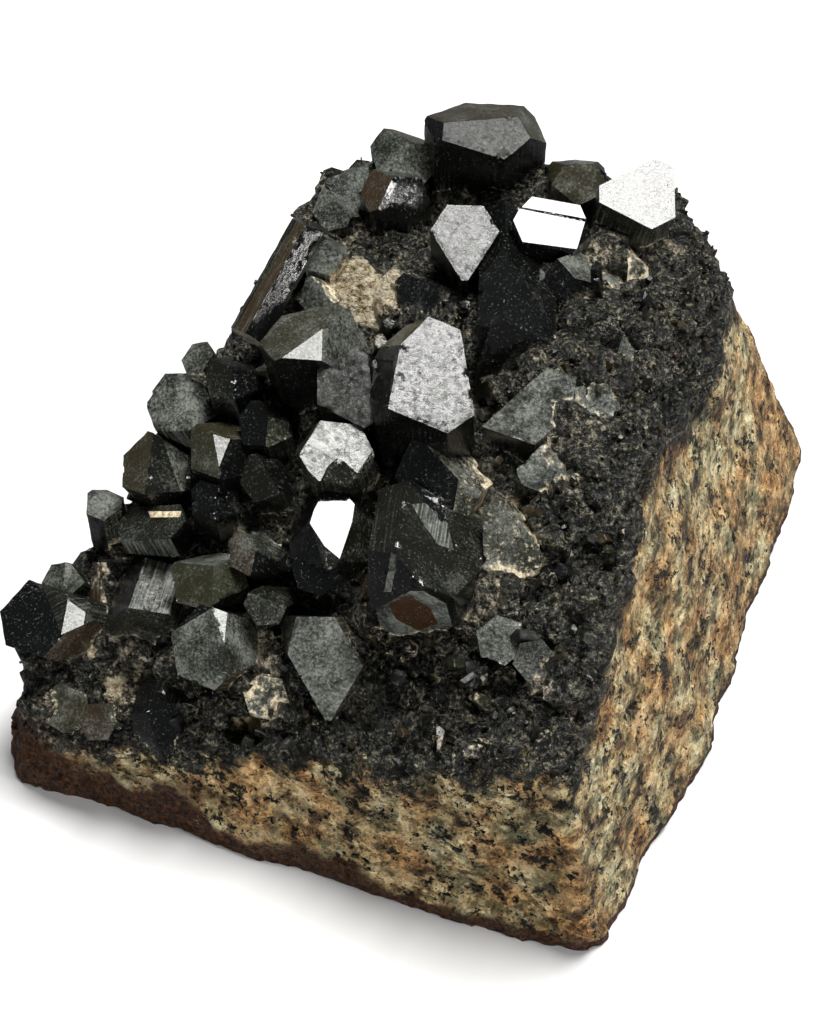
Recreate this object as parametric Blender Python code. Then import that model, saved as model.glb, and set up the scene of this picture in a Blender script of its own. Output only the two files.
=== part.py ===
import math
import random
from collections import namedtuple

import bmesh
import bpy
from mathutils import Matrix, Vector, noise

# A hand specimen of schorl: stout black tourmaline crystals standing on a broken
# block of granite. The block rests on its flat underside, the ground is z = 0,
# +X is to the right and -Y towards the viewer of the bright crystal faces.

MM = 0.001
BLOCK_BOX = 160 * MM
GROUND_TRIM = 3 * MM
SCORE_STEP = 5.7 * MM
MERGE_BELOW = 1.3 * MM
LUMP_SIZE = 17 * MM
LUMP_HEIGHT = 1.5 * MM
PIT_SIZE = 6 * MM
PIT_HEIGHT = 0.7 * MM
NOISE_SEED = 36
SOCKET_GAP = 0.3 * MM
RUBBLE_SEED = 5
RUBBLE_SIZE = (1.3, 3)
RUBBLE_RISE = (1, 2.6)
RUBBLE_FIELDS = ((55, (-54, 42), (-52, -24)), (38, (14, 44), (-26, 36)))
RUBBLE_MARGIN = 1.5
RUBBLE_EDGES = ("front", "front right", "near corner", "right", "right far", "back right", "back",
                "back left", "left", "left tip")
TINY = 0.001 * MM

# A break is a plane that the block was split along: a point on it in millimetres,
# the compass direction that it faces (0 is +X, 90 is +Y) and how far it looks up.
Break = namedtuple("Break", "point compass rise")

BREAKS = {
    "front": Break((2.8, -51, 0), 250, 12),
    "front right": Break((18, -56.5, 0), 258, 9),
    "near corner": Break((25, -56.5, 0), 295, 4),
    "right": Break((45.5, -20, 0), 332, 15),
    "right far": Break((59, 20, 0), 341, 17),
    "far corner": Break((64.5, 36, 0), 20, 22),
    "back right": Break((50, 44, 0), 78, 13),
    "back": Break((10, 49, 0), 96, 2),
    "back left": Break((-24, 38, 0), 131, 6),
    "left": Break((-46, 6, 0), 149, 12),
    "left tip": Break((-60.5, -24, 0), 190, 14),
    "left toe": Break((-57, -29.5, 0), 236, 8),
    "druse slope": Break((-8, -6, 42), 226, 57),
    "druse top": Break((14, 10, 55.5), 222, 84),
    "upper right shoulder": Break((38, 6, 54), 350, 50),
}

# A crystal is a six-sided prism. Its crown is the middle of its free end, lean is
# the compass direction and angle from upright of its long axis, turn spins its six
# sides, which stand at these distances from the axis. Each cap is a face of the
# free end: the compass direction and angle from upright that it faces, and how far
# out from the crown it lies. Everything is in millimetres and degrees.
Crystal = namedtuple("Crystal", "crown lean turn sides caps length")


def even(distance):
    """Six sides at one distance, as on a regular prism."""
    return (distance,) * 6


CLUSTERS = {
    "crown_crystals": {
        "great crown": Crystal((10.5, 36, 69.5), (270, 8), 15, (9.2, 9.5, 9.5, 7.6, 3, 4.5),
                               ((285, 22, 0), (95, 26, 1.8), (12, 50, 4.3), (192, 50, 5.2)), 28),
        "left shoulder": Crystal((-3.2, 32, 64.5), (250, 12), 20, even(4.6),
                                 ((190, 42, 0.2), (310, 55, 0.3), (75, 35, 0.5)), 20),
        "back left high": Crystal((-2, 41, 64), (120, 15), 10, even(4.4),
                                  ((200, 30, 0), (60, 35, 0.5), (300, 50, 1.5)), 20),
        "bundle top": Crystal((-11.6, 31.5, 59.5), (230, 15), 30, even(3),
                              ((240, 40, 0), (20, 40, 0.8)), 13),
        "back left low": Crystal((-8.5, 38.5, 60), (160, 25), 40, even(4.2),
                                 ((250, 35, 0), (120, 40, 0.5), (330, 50, 1.5)), 18),
    },
    "upper_right_crystals": {
        "lying black": Crystal((12.2, 1.4, 57), (268, 85), 0, (7.4, 6.8, 6.8, 3.6, 6.4, 6.4),
                               ((272, 76, 0), (215, 68, 3)), 28),
        "right knob": Crystal((29.6, 5.3, 58.3), (300, 20), 10, even(4),
                              ((290, 42, 0), (30, 35, 0.6), (200, 45, 0.8)), 14),
        "grey kite": Crystal((7.2, 20.5, 64), (265, 15), 30, (4.9, 5.1, 4.7, 3.9, 6.8, 3.7),
                             ((285, 20, 0), (350, 48, 3.6)), 22),
        "under kite": Crystal((2.3, 15.5, 58.5), (250, 20), 10, even(4.8),
                              ((240, 42, 0), (330, 50, 1), (60, 35, 0.8)), 16),
        "mirror table": Crystal((19.5, 22.5, 64.5), (275, 12), 20, (5, 4, 5, 5, 3.7, 5),
                                ((288, 17, 0),), 20),
        "small back peak": Crystal((23.5, 32, 66.6), (275, 8), 0, even(4.2),
                                   ((290, 38, 0), (90, 35, 0.6), (20, 45, 1.8), (170, 45, 1.8)), 20),
        "white shield": Crystal((32.5, 26, 67), (320, 12), 0, (4.4, 6, 4.3, 6.2, 4.2, 5.3),
                                ((285, 16, 0),), 20),
        "rough round": Crystal((20, 17.5, 61), (270, 20), 15, even(5.2),
                               ((240, 42, 0), (330, 48, 0), (90, 30, 0.5), (180, 45, 1)), 18),
        "blue grey patch": Crystal((24.5, 13.5, 61.5), (280, 15), 10, even(5.6),
                                   ((290, 68, 0), (15, 26, 0.4), (225, 55, 2)), 20),
        "dark knob high": Crystal((25.4, 11.6, 57.6), (285, 15), 5, even(4.6),
                                  ((265, 44, 0), (35, 40, 0.8), (150, 40, 1.4)), 14),
        "dark knob low": Crystal((23.2, 4.6, 56.8), (270, 25), 25, even(4),
                                 ((250, 46, 0), (350, 42, 0.8)), 14),
        "fibre knot": Crystal((31.5, 19, 60), (300, 20), 25, even(4.4),
                              ((280, 45, 0), (20, 40, 0.6), (200, 40, 1.2)), 14),
    },
    "long_side_crystals": {
        "side prism": Crystal((-14.8, 25.4, 62), (58, 63), 0, even(2.5), ((58, 40, 0),), 19),
        "bundle high": Crystal((-13, 23, 60), (240, 10), 10, even(3.2),
                               ((250, 45, 0), (40, 40, 0.6)), 14),
        "bundle low": Crystal((-13.5, 17, 56.5), (250, 15), 40, even(2.8),
                              ((230, 45, 0), (20, 40, 0.6)), 12),
    },
    "centre_crystals": {
        "tall white face": Crystal((2.6, -3.5, 62.5), (262, 12), 8, (4.6, 7, 9.5, 8.8, 8.1, 8.6),
                                   ((287, 19, 0), (180, 60, 4.6), (148, 46, 4.9)), 20),
        "three face peak": Crystal((-12.7, 5.7, 61), (240, 12), 30, (5.5, 5, 8, 8.2, 5, 5.5),
                                   ((155, 24, 0), (285, 21, 0), (342, 50, 0)), 20),
        "grey slope": Crystal((-8.6, -2.1, 56.5), (255, 20), 0, (3.8, 6, 5.2, 4.8, 3.8, 5.5),
                              ((255, 28, 0), (345, 55, 2.4)), 18),
        "white hexagon": Crystal((-10.8, -9.3, 53), (250, 18), 25, (4.5, 3.7, 4.1, 5.1, 5.3, 4.8),
                                 ((286, 18, 0),), 18),
        "white rhomb": Crystal((-11.3, -17.8, 47.5), (262, 15), 0, even(6),
                               ((287, 20, 0), (212, 60, 2.4), (342, 60, 2.2), (165, 60, 2.6),
                                (32, 60, 3.8), (123, 60, 4.1)), 11),
        "black saddle": Crystal((3.8, -13.5, 53), (255, 20), 30, even(5.8),
                                ((245, 42, 0), (20, 38, 0.8), (300, 50, 1.6)), 18),
        "tan slab": Crystal((13, -23, 50), (255, 14), 0, (3.8, 5, 5, 3.8, 5, 5),
                            ((270, 42, 0), (20, 55, 2.2)), 10),
        "big rounded": Crystal((1, -31.5, 44.5), (263, 86), 0, (9.4, 6.8, 10.5, 7.6, 8.6, 8.6),
                               ((262, 100, 0), (228, 74, 3.2), (330, 88, 4.6)), 15),
        "chipped white": Crystal((2, -19.5, 51.5), (270, 20), 10, even(2.2), ((286, 22, 0),), 10),
        "lying strip": Crystal((-13.5, -22.5, 42.5), (240, 60), 20, even(3.2), ((245, 50, 0),), 14),
    },
    "left_ridge_crystals": {
        "dark pair left": Crystal((-21.2, -1.2, 49.8), (235, 12), 10, even(3.5),
                                  ((220, 40, 0), (40, 35, 0.8), (320, 45, 0.8)), 16),
        "dark pair low": Crystal((-21, -8, 45.6), (235, 20), 35, even(3.3),
                                 ((230, 42, 0), (10, 40, 0.8)), 14),
        "tall rounded": Crystal((-26.2, 5.8, 52.2), (200, 10), 10, even(3.5),
                                ((225, 40, 0), (60, 30, 0.4), (320, 40, 0.6)), 18),
        "green chip": Crystal((-31, 10.5, 50), (190, 20), 20, even(2.4), ((200, 30, 0),), 12),
        "ridge grey": Crystal((-34, 5.5, 46), (215, 22), 20, even(4.4),
                              ((225, 28, 0), (330, 40, 1.6)), 16),
        "ridge low": Crystal((-38, -2.5, 42), (210, 25), 0, even(4.4),
                             ((200, 38, 0), (330, 38, 0.5)), 16),
        "dark hexagon": Crystal((-27, -3.5, 47.5), (240, 18), 0, even(4.8),
                                ((215, 44, 0.6), (325, 44, 0.5), (60, 30, 0.6), (287, 20, 0)), 18),
        "flat black": Crystal((-37.3, -9.5, 37), (230, 15), 20, (5, 3, 5, 5, 3, 5),
                              ((185, 24, 0),), 4.5),
        "ledge black": Crystal((-28.2, -8.4, 42.4), (235, 8), 5, even(3.4),
                               ((205, 36, 0), (320, 42, 0.4), (80, 35, 1)), 7),
    },
    "left_point_crystals": {
        "left point": Crystal((-54, -18.5, 26.5), (215, 40), 10, (7.2, 5, 5, 5.6, 5, 5),
                              ((230, 38, 0), (290, 20, 1.6)), 16),
        "flat behind": Crystal((-51.2, -12.3, 27.6), (220, 30), 30, even(2.6),
                               ((210, 32, 0), (330, 35, 0.8)), 12),
        "toe high": Crystal((-49.8, -20.6, 18.2), (215, 45), 15, even(2.2),
                            ((225, 55, 0), (330, 45, 0.6)), 7),
        "thin post": Crystal((-45.6, -22.9, 17.6), (268, 122), 0, even(1.6), ((268, 110, 0),), 17),
    },
    "lower_slope_crystals": {
        "olive round": Crystal((-29.5, -19.4, 37.8), (230, 35), 15, even(4.7),
                               ((218, 34, 0), (90, 40, 1.2), (330, 40, 1.6)), 16),
        "grey pyramid": Crystal((-28.6, -28.6, 33.2), (245, 38), 10, (6.4, 5.4, 5.2, 5.2, 5.2, 5.4),
                                ((232, 42, 0), (292, 22, 1.7), (345, 55, 3)), 16),
        "green slab": Crystal((-13.2, -31.4, 35.2), (250, 42), 30, (4.6, 5.2, 7, 3.5, 9, 6.2),
                              ((265, 38, 0), (190, 60, 3.4)), 12),
        "dark fill": Crystal((-22.8, -17.4, 40.8), (230, 30), 0, even(3.3),
                             ((215, 42, 0), (30, 40, 0.6), (310, 48, 1)), 16),
        "dark fill low": Crystal((-20.4, -24.4, 37.6), (240, 35), 30, even(2.9),
                                 ((250, 50, 0), (60, 30, 0.6)), 14),
    },
    "wedge_crystals": {
        "grey wedge": Crystal((17.3, -6.8, 58.2), (255, 6), 5, (6.3, 5, 3.7, 8.2, 4.6, 3.2),
                              ((245, 32, 0), (320, 52, 3.2)), 10),
        "wedge neighbour": Crystal((25.3, -5.3, 58), (300, 15), 20, even(2.8),
                                   ((260, 30, 0), (350, 45, 1.2)), 14),
    },
    "step_crystal": {
        "striped step": Crystal((18.6, -14, 53.8), (270, 4), 10, (4.6, 3, 3.2, 4.6, 3, 3.2),
                                ((262, 34, 0), (20, 40, 2.4)), 12),
    },
    "left_post_crystal": {
        "left post": Crystal((-44.3, -5, 36.6), (270, 5), 0, even(2.6),
                             ((235, 25, 0), (60, 35, 0.6)), 16),
    },
    "front_left_prisms": {
        "block prism": Crystal((-38.3, -21, 27.1), (260, 88), 20, (5.2, 4.8, 4.6, 5.4, 5.4, 5.4),
                               ((265, 92, 0), (275, 48, 3.4)), 9),
        "standing black": Crystal((-36, -33.8, 19.8), (265, 82), 0, even(3.9),
                                  ((300, 62, 0), (240, 78, 0.5)), 24),
    },
    "broken_crystal": {
        "broken grey": Crystal((-20.5, -33, 27.4), (240, 50), 20, even(3), ((250, 45, 0),), 12),
    },
    "front_stumps": {
        "stump left": Crystal((11.6, -34.4, 42.5), (260, 40), 10, even(3), ((285, 30, 0),), 10),
        "stump right": Crystal((16, -37.4, 42), (270, 40), 40, even(2.6), ((255, 45, 0),), 10),
    },
    "toe_crystals": {
        "toe left": Crystal((-50.5, -27, 16.5), (220, 40), 0, even(3.2),
                            ((235, 45, 0), (320, 50, 1)), 10),
        "toe right": Crystal((-45, -30.5, 18), (240, 35), 30, even(2.6), ((250, 40, 0),), 10),
    },
}

# Pockets broken out of the block, each given as the crystal-shaped piece that is missing.
POCKETS = {
    "front ledge": Crystal((-24.6, -36.5, 22.2), (250, 68), 0, (6, 3.4, 2.4, 6, 3.4, 2.4),
                           ((250, 68, 0),), 7),
}


def facing(compass, rise):
    """Unit vector that points along a compass direction, raised above the level."""
    flat = math.cos(math.radians(rise))
    turn = math.radians(compass)
    return Vector((flat * math.cos(turn), flat * math.sin(turn), math.sin(math.radians(rise))))


def cut_away(shape, point, normal):
    """Split a closed shape along a plane, drop what lies outside and close the cut."""
    every = shape.verts[:] + shape.edges[:] + shape.faces[:]
    cut = bmesh.ops.bisect_plane(shape, geom=every, dist=TINY * 0.01, plane_co=point,
                                 plane_no=normal, clear_outer=True)
    rim = [item for item in cut["geom_cut"] if isinstance(item, bmesh.types.BMEdge)]
    if rim:
        bmesh.ops.edgeloop_fill(shape, edges=rim)


def new_object(name, shape, collection, material):
    """Turn a bmesh into a named object with one material."""
    mesh = bpy.data.meshes.new(name)
    bmesh.ops.recalc_face_normals(shape, faces=shape.faces)
    shape.to_mesh(mesh)
    shape.free()
    made = bpy.data.objects.new(name, mesh)
    collection.objects.link(made)
    made.data.materials.append(material)
    return made


def new_material(name, colour, roughness, metallic=0.0):
    material = bpy.data.materials.new(name)
    material.use_nodes = True
    shader = material.node_tree.nodes["Principled BSDF"]
    shader.inputs["Base Color"].default_value = (*colour, 1)
    shader.inputs["Roughness"].default_value = roughness
    shader.inputs["Metallic"].default_value = metallic
    return material


def crystal_shape(crystal, grown=0.0):
    """One prism, cut from a block by its sides, its caps and its root, grown outwards."""
    axis = facing(crystal.lean[0], 90 - crystal.lean[1])
    across = (Vector((1, 0, 0)) - axis * axis.x).normalized()
    upwards = axis.cross(across)
    crown = Vector(crystal.crown) * MM
    size = (crystal.length + 2 * max(crystal.sides)) * MM
    shape = bmesh.new()
    bmesh.ops.create_cube(shape, size=2 * size, matrix=Matrix.Translation(crown))
    for number, distance in enumerate(crystal.sides):
        around = math.radians(crystal.turn + 60 * number)
        side = across * math.cos(around) + upwards * math.sin(around)
        cut_away(shape, crown + side * (distance * MM + grown), side)
    for compass, slope, offset in crystal.caps:
        cap = facing(compass, 90 - slope)
        cut_away(shape, crown + cap * (offset * MM + grown), cap)
    cut_away(shape, crown - axis * (crystal.length * MM + grown), -axis)
    return shape


def joined(shapes, name, collection, material):
    """Join overlapping shapes into one solid by Boolean unions."""
    first = new_object(name, shapes[0], collection, material)
    for number, shape in enumerate(shapes[1:]):
        other = new_object(f"{name} part {number}", shape, collection, material)
        combine(first, other, "UNION")
    return first


def combine(target, other, operation):
    """Apply one exact Boolean to the target and remove the other object."""
    boolean = target.modifiers.new(operation.lower(), "BOOLEAN")
    boolean.operation = operation
    boolean.solver = "EXACT"
    boolean.object = other
    bpy.context.view_layer.update()
    graph = bpy.context.evaluated_depsgraph_get()
    result = bpy.data.meshes.new_from_object(target.evaluated_get(graph))
    target.modifiers.clear()
    old = target.data
    target.data = result
    bpy.data.meshes.remove(old)
    used = other.data
    bpy.data.objects.remove(other)
    bpy.data.meshes.remove(used)


def score(shape, step):
    """Divide the faces by a grid of planes, so that they can be roughened."""
    low = -BLOCK_BOX / 2
    count = int(BLOCK_BOX / step)
    for direction in (Vector((1, 0.13, 0)), Vector((-0.13, 1, 0.1)), Vector((0, -0.1, 1))):
        for number in range(count + 1):
            every = shape.verts[:] + shape.edges[:] + shape.faces[:]
            place = direction * (low + number * step)
            bmesh.ops.bisect_plane(shape, geom=every, dist=TINY, plane_co=place, plane_no=direction)


def roughen(shape):
    """Move the corners by smooth noise: broad lumps first, then small ledges and pits."""
    noise.seed_set(NOISE_SEED)
    for corner in shape.verts:
        lump = noise.noise_vector(corner.co / LUMP_SIZE)
        pit = noise.noise_vector(corner.co / PIT_SIZE)
        corner.co += lump * LUMP_HEIGHT + pit * PIT_HEIGHT


def drop_chips(target):
    """Keep the largest body only, because small chips between sockets would be loose."""
    shape = bmesh.new()
    shape.from_mesh(target.data)
    bmesh.ops.remove_doubles(shape, verts=shape.verts, dist=TINY)
    waiting = set(shape.verts)
    bodies = []
    while waiting:
        body = set()
        edge_of_body = [waiting.pop()]
        while edge_of_body:
            corner = edge_of_body.pop()
            body.add(corner)
            for edge in corner.link_edges:
                other = edge.other_vert(corner)
                if other in waiting:
                    waiting.remove(other)
                    edge_of_body.append(other)
        bodies.append(body)
    largest = max(bodies, key=len)
    loose = [corner for body in bodies if body is not largest for corner in body]
    bmesh.ops.delete(shape, geom=loose, context="VERTS")
    shape.to_mesh(target.data)
    shape.free()


def rubble_piece(chance, crown):
    """One angular fragment of the dark crust, half sunk in the rock below its crown."""
    size = chance.uniform(*RUBBLE_SIZE)
    sides = [size * chance.uniform(0.7, 1.2) for number in range(6)]
    first = chance.uniform(0, 360)
    caps = [(first + 120 * number + chance.uniform(-25, 25), chance.uniform(15, 50),
             size * chance.uniform(0, 0.4)) for number in range(3)]
    lean = (chance.uniform(180, 300), chance.uniform(5, 45))
    return crystal_shape(Crystal(crown, lean, chance.uniform(0, 60), sides, caps, size * 2.2))


def lay_rubble(block, collection, material):
    """Fuse fragments to the druse side of the block, along its front and its right edge."""
    chance = random.Random(RUBBLE_SEED)
    edges = [BREAKS[name] for name in RUBBLE_EDGES]
    for count, across, along in RUBBLE_FIELDS:
        laid = 0
        while laid < count:
            spot = Vector((chance.uniform(*across), chance.uniform(*along), 0))
            surface = min(height_of(BREAKS["druse slope"], spot), height_of(BREAKS["druse top"], spot))
            spot.z = surface + chance.uniform(*RUBBLE_RISE)
            room = min(facing(edge.compass, edge.rise).dot(Vector(edge.point) - spot) for edge in edges)
            if room < RUBBLE_MARGIN:
                continue
            fragment = rubble_piece(chance, tuple(spot))
            combine(block, new_object("fragment", fragment, collection, material), "UNION")
            laid += 1


def height_of(plane, spot):
    """Height of a break plane above a spot on the ground."""
    normal = facing(plane.compass, plane.rise)
    past = spot - Vector(plane.point)
    return plane.point[2] - (normal.x * past.x + normal.y * past.y) / normal.z


def granite_block(collection, material):
    shape = bmesh.new()
    bmesh.ops.create_cube(shape, size=BLOCK_BOX)
    for plane in BREAKS.values():
        cut_away(shape, Vector(plane.point) * MM, facing(plane.compass, plane.rise))
    cut_away(shape, Vector((0, 0, -GROUND_TRIM)), Vector((0, 0, -1)))
    score(shape, SCORE_STEP)
    bmesh.ops.remove_doubles(shape, verts=shape.verts, dist=MERGE_BELOW)
    bmesh.ops.triangulate(shape, faces=shape.faces)
    roughen(shape)
    cut_away(shape, Vector((0, 0, 0)), Vector((0, 0, -1)))
    return new_object("granite_matrix", shape, collection, material)


def centre(things):
    """Move everything so that the z axis runs through the middle of the whole specimen."""
    corners = [corner.co for thing in things for corner in thing.data.vertices]
    middle_x = (min(corner.x for corner in corners) + max(corner.x for corner in corners)) / 2
    middle_y = (min(corner.y for corner in corners) + max(corner.y for corner in corners)) / 2
    for thing in things:
        thing.data.transform(Matrix.Translation((-middle_x, -middle_y, 0)))


def build():
    for thing in list(bpy.data.objects):
        bpy.data.objects.remove(thing)
    parts = bpy.data.collections.new("schorl_crystal_cluster")
    bpy.context.scene.collection.children.link(parts)
    granite = new_material("granite", (0.42, 0.29, 0.15), 0.85)
    schorl = new_material("schorl", (0.006, 0.007, 0.006), 0.16)
    block = granite_block(parts, granite)
    lay_rubble(block, parts, granite)
    for pocket in POCKETS.values():
        combine(block, new_object("pocket", crystal_shape(pocket), parts, granite), "DIFFERENCE")
    for name, crystals in CLUSTERS.items():
        joined([crystal_shape(crystal) for crystal in crystals.values()], name, parts, schorl)
        sockets = [crystal_shape(crystal, SOCKET_GAP) for crystal in crystals.values()]
        for socket in sockets:
            combine(block, new_object("socket", socket, parts, granite), "DIFFERENCE")
    drop_chips(block)
    centre(parts.objects)


build()
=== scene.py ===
# Schorl crystals on their granite block, dressed for a studio picture
import math
import random

import bmesh
import bpy
import numpy as np
from mathutils import Matrix, Vector, noise
from mathutils.bvhtree import BVHTree
from mathutils.kdtree import KDTree


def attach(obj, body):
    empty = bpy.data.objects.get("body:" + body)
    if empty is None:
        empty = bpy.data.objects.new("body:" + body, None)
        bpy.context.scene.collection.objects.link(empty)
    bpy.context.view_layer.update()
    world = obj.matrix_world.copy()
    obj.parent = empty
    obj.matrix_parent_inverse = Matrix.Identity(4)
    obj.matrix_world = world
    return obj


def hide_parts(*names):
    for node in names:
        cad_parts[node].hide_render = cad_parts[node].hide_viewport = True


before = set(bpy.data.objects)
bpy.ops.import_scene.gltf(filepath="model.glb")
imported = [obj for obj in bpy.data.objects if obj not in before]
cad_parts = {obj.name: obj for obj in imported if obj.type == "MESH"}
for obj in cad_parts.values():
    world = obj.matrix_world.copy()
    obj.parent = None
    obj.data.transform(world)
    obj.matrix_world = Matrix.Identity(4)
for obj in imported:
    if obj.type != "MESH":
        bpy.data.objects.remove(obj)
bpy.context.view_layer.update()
print("frame loaded,", len(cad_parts), "nodes")

mm = 0.001
middleShift = Vector((-1.82, 3.267, 0))   # the places below are in mm, from before the block was centred

studio = {
    "aim": (0, -10, 40),
    "distance": 0.34,
    "elevation": 50,
    "lens": 85,
    "sensor": 36,
    "picture": (828, 1024),
    # lamps: (compass, elevation), distance, size, power, colour
    "key": ((60, 72), 0.8, 0.32, 10.0, (1.0, 0.99, 0.97)),
    "front": ((258, 16), 0.9, 0.10, 2.4, (1.0, 0.98, 0.95)),
    "side": ((335, 22), 0.9, 0.10, 2.1, (1.0, 0.98, 0.95)),
    "sky": (0.09, 0.095, 0.105),
    "floorSize": 6,
    "floor": (0.82, 0.82, 0.82),
    "floorInGloss": (0.10, 0.10, 0.11),   # what the black faces mirror of it, like a flag over the table
}


def direction(compass, slope):
    # unit vector that leans from upright by slope degrees towards the compass direction
    turn, lean = math.radians(compass), math.radians(slope)
    return Vector((math.sin(lean) * math.cos(turn), math.sin(lean) * math.sin(turn), math.cos(lean)))


def place(point):
    # a point in mm, in metres on the centred block
    return (Vector(point) + middleShift) * mm


def smooth(low, high, value):
    # 0 up to low, 1 from high on, and a soft step between them
    t = min(1, max(0, (value - low) / (high - low)))
    return t * t * (3 - 2 * t)


rise = math.radians(studio["elevation"])
cameraBack = Vector((0, -math.cos(rise), math.sin(rise)))   # from the aim to the camera
cameraUp = Vector((0, math.sin(rise), math.cos(rise)))
eye = place(studio["aim"]) + cameraBack * studio["distance"]


# shader helpers

def fill(tree, socket, value):
    # link another node's output to the socket, or set its own value
    if isinstance(value, bpy.types.NodeSocket):
        tree.links.new(value, socket)
    else:
        socket.default_value = value


def put(tree, kind, settings=None, **inputs):
    # add a node, set its options and fill its inputs: in0 is the first, From_Min the one called From Min
    node = tree.nodes.new("ShaderNode" + kind)
    for key, value in (settings or {}).items():
        setattr(node, key, value)
    for key, value in inputs.items():
        numbered = key[:2] == "in" and key[2:].isdigit()
        fill(tree, node.inputs[int(key[2:]) if numbered else key.replace("_", " ")], value)
    return node


def add(tree, a, b, clamp=False):
    return put(tree, "Math", {"operation": "ADD", "use_clamp": clamp}, in0=a, in1=b).outputs[0]


def times(tree, a, b):
    return put(tree, "Math", {"operation": "MULTIPLY"}, in0=a, in1=b).outputs[0]


def weighted(tree, *parts):
    # sum of the parts, each times its weight
    total = times(tree, *parts[0])
    for value, weight in parts[1:]:
        total = add(tree, total, times(tree, value, weight))
    return total


def between(tree, operation, a, b):
    # two vectors added, subtracted or multiplied
    return put(tree, "VectorMath", {"operation": operation}, in0=a, in1=b).outputs


def remap(tree, value, low, high, toLow=0.0, toHigh=1.0):
    # a soft step from toLow to toHigh while the value goes from low to high
    return put(tree, "MapRange", {"interpolation_type": "SMOOTHSTEP"}, Value=value,
               From_Min=low, From_Max=high, To_Min=toLow, To_Max=toHigh).outputs["Result"]


def cloudy(tree, vector, scale, detail, roughness, **settings):
    return put(tree, "TexNoise", settings, Vector=vector, Scale=scale, Detail=detail,
               Roughness=roughness).outputs


def blend(tree, factor, a, b, mode="MIX"):
    node = put(tree, "Mix", {"data_type": "RGBA", "blend_type": mode}, in0=factor)
    for socket, colour in ((node.inputs[6], a), (node.inputs[7], b)):
        fill(tree, socket, (*colour, 1) if isinstance(colour, tuple) else colour)
    return node.outputs[2]


def ramp(tree, value, stops):
    node = put(tree, "ValToRGB", Fac=value)
    elements = node.color_ramp.elements
    elements.remove(elements[0])
    elements[0].position = stops[0][0]
    elements[0].color = (*stops[0][1], 1)
    for position, colour in stops[1:]:
        elements.new(position).color = (*colour, 1)
    return node.outputs["Color"]


def newGroup(name, inputs, outputs):
    # an input with no starting value is a vector, the others are numbers
    tree = bpy.data.node_groups.new(name, "ShaderNodeTree")
    for label, value in inputs.items():
        kind = "NodeSocketVector" if value is None else "NodeSocketFloat"
        socket = tree.interface.new_socket(label, in_out="INPUT", socket_type=kind)
        if value is not None:
            socket.default_value = value
    for label, kind in outputs.items():
        tree.interface.new_socket(label, in_out="OUTPUT", socket_type=kind)
    return tree, tree.nodes.new("NodeGroupInput").outputs, tree.nodes.new("NodeGroupOutput").inputs


def useGroup(tree, group, **inputs):
    return put(tree, "Group", {"node_tree": group}, **inputs).outputs


def newMaterial(name):
    material = bpy.data.materials.new(name)
    material.use_nodes = True
    tree = material.node_tree
    return material, tree, tree.nodes["Principled BSDF"]


def linkSurface(tree, shader, colour, roughness, relief, depth, strength):
    bump = put(tree, "Bump", Height=relief, Distance=depth, Strength=strength)
    tree.links.new(colour, shader.inputs["Base Color"])
    tree.links.new(roughness, shader.inputs["Roughness"])
    tree.links.new(bump.outputs["Normal"], shader.inputs["Normal"])


def makeBrokenGrain():
    # each cell is a little plane with its own tilt, like grains on a fresh break
    tree, given, made = newGroup("brokenGrain", {"Vector": None, "Size": 1000.0, "Seed": 0.0},
                                 dict.fromkeys(("Height", "Pick", "Shade"), "NodeSocketFloat"))
    scaled = put(tree, "VectorMath", {"operation": "SCALE"}, in0=given["Vector"], Scale=given["Size"])
    moved = between(tree, "ADD", scaled.outputs[0], given["Seed"])[0]
    cells = put(tree, "TexVoronoi", Vector=moved, Scale=1.0).outputs
    off = between(tree, "SUBTRACT", moved, cells["Position"])[0]
    tilt = between(tree, "SUBTRACT", cells["Color"], (0.5, 0.5, 0.5))[0]
    shares = put(tree, "SeparateColor", Color=cells["Color"]).outputs
    tree.links.new(between(tree, "DOT_PRODUCT", off, tilt)["Value"], made["Height"])
    tree.links.new(shares[0], made["Pick"])
    tree.links.new(shares[1], made["Shade"])
    return tree


dust = {
    "edge": (1.25, 1.65),    # mask plus noise, from bare to covered
    "shades": ((0.37, (0.07, 0.035, 0.014)), (0.46, (0.27, 0.18, 0.09)), (0.55, (0.52, 0.43, 0.27)),
               (0.66, (0.80, 0.71, 0.52))),
}


def makeRockDust():
    # pale rock dust and rusty stain, thickest where the mask says and broken up by noise
    tree, given, made = newGroup("rockDust", {"Vector": None, "Mask": 0.0, "Grain": 900.0},
                                 {"Amount": "NodeSocketFloat", "Colour": "NodeSocketColor"})
    fine = cloudy(tree, given["Vector"], given["Grain"], 4.0, 0.7)["Fac"]
    amount = remap(tree, weighted(tree, (fine, 1.6), (given["Mask"], 1.0)), *dust["edge"])
    shade = weighted(tree, (fine, 1.0), (given["Mask"], 0.09))
    tree.links.new(amount, made["Amount"])
    tree.links.new(ramp(tree, shade, dust["shades"]), made["Colour"])
    return tree


brokenGrain = makeBrokenGrain()
rockDust = makeRockDust()

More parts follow.
